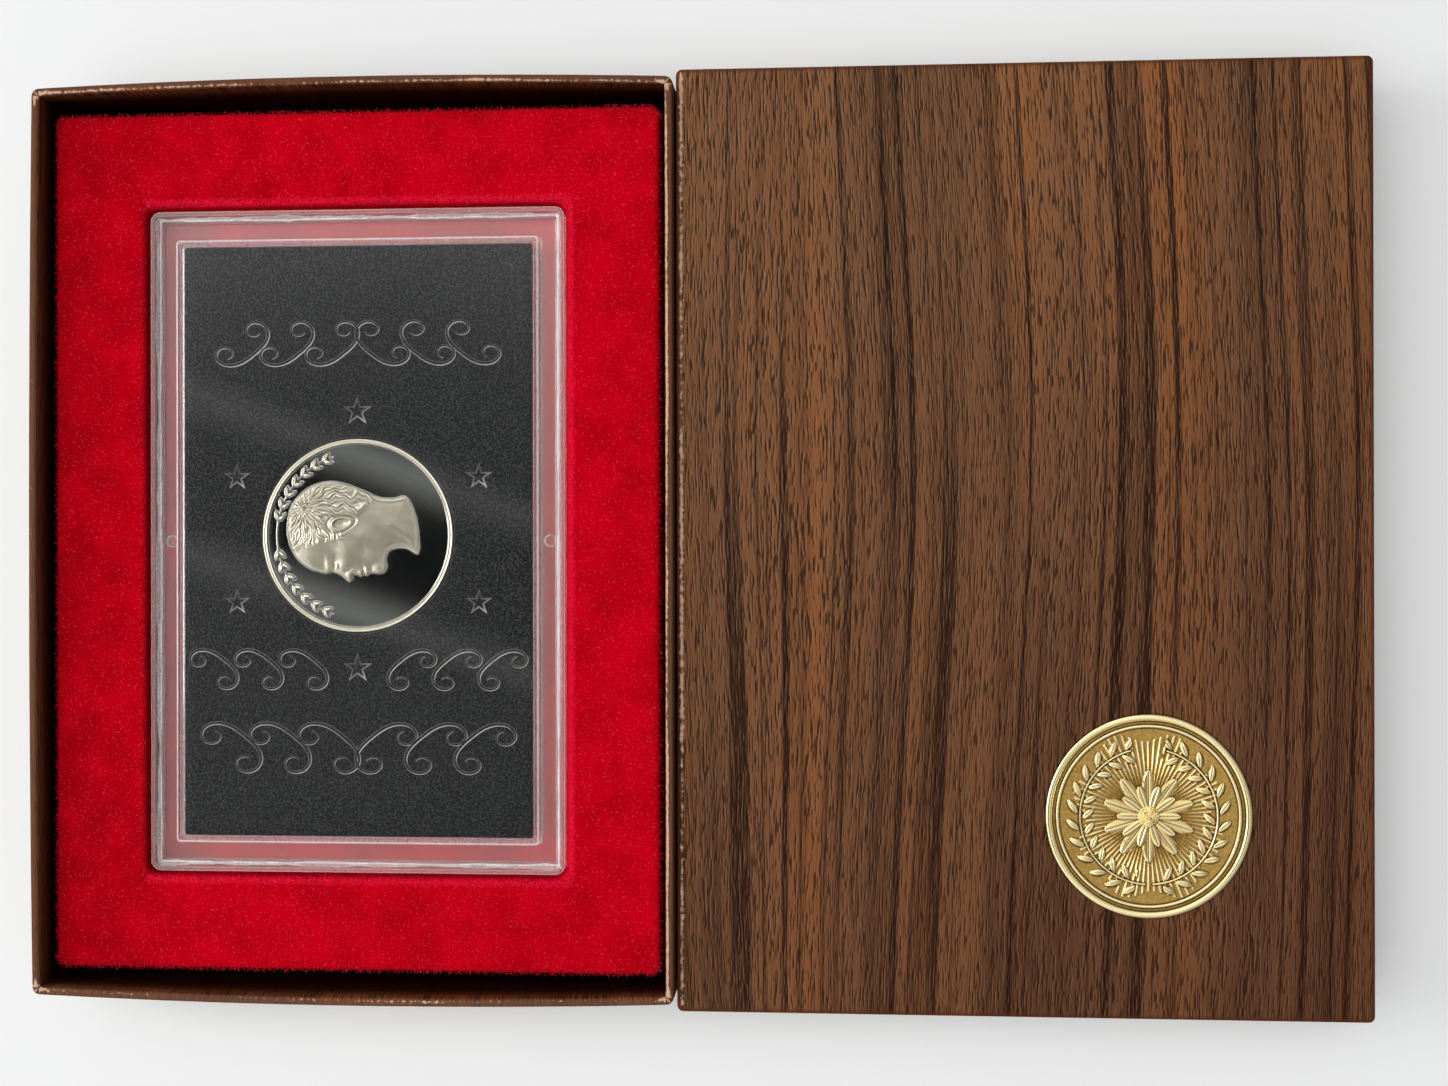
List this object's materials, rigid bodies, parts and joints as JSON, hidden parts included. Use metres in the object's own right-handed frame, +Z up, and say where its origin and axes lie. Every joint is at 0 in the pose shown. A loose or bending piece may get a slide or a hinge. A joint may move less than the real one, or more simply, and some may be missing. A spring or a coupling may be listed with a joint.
{
  "type": "coin presentation box",
  "caption": "Wood-grain paper presentation box: open tray with a red flocked platform holding a clear coin case, and a lift-off lid with a gold seal lying beside it.",
  "frame": {"origin": "middle of the tray's underside, on the surface that the tray and the lid lie on", "axes": "+X from the tray towards the lid, +Y towards the head of the coin case, +Z up"},
  "size_m": [0.2571, 0.1804, 0.023],
  "materials": {
    "chipboard": "plain grey-brown board",
    "corner_tape": "plain kraft tape",
    "wood_grain_paper": "printed and embossed wood grain, satin",
    "gold_foil": "embossed gold foil",
    "red_polystyrene": "thin thermoformed sheet",
    "red_flock": "short velvet flock",
    "clear_polystyrene": "clear, polished",
    "black_polystyrene": "fine leather grain",
    "silver": "mirror field, frosted relief"
  },
  "bodies": {
    "tray": {"tray_board": "chipboard", "tray_corner_stays": "corner_tape", "tray_wrap": "wood_grain_paper"},
    "lid": {"lid_board": "chipboard", "lid_corner_stays": "corner_tape", "lid_wrap": "wood_grain_paper", "gold_seal": "gold_foil"},
    "platform": {"platform_form": "red_polystyrene", "platform_flocking": "red_flock"},
    "case": {"case_back": "clear_polystyrene", "case_front": "clear_polystyrene", "coin_insert": "black_polystyrene"},
    "coin": {"coin": "silver"}
  },
  "joints": [
    {"name": "lid_lift", "type": "slide", "parent": "tray", "child": "lid", "axis": [0, 0, 1], "range_m": [0, 0.05]},
    {"name": "platform_lift", "type": "slide", "parent": "tray", "child": "platform", "axis": [0, 0, 1], "range_m": [0, 0.035]},
    {"name": "case_lift", "type": "slide", "parent": "platform", "child": "case", "axis": [0, 0, 1], "range_m": [0, 0.03]},
    {"name": "coin_turn", "type": "hinge", "parent": "case", "child": "coin", "pos_m": [0, 0.00105, 0.01449], "axis": [0, 0, 1], "continuous": true}
  ]
}
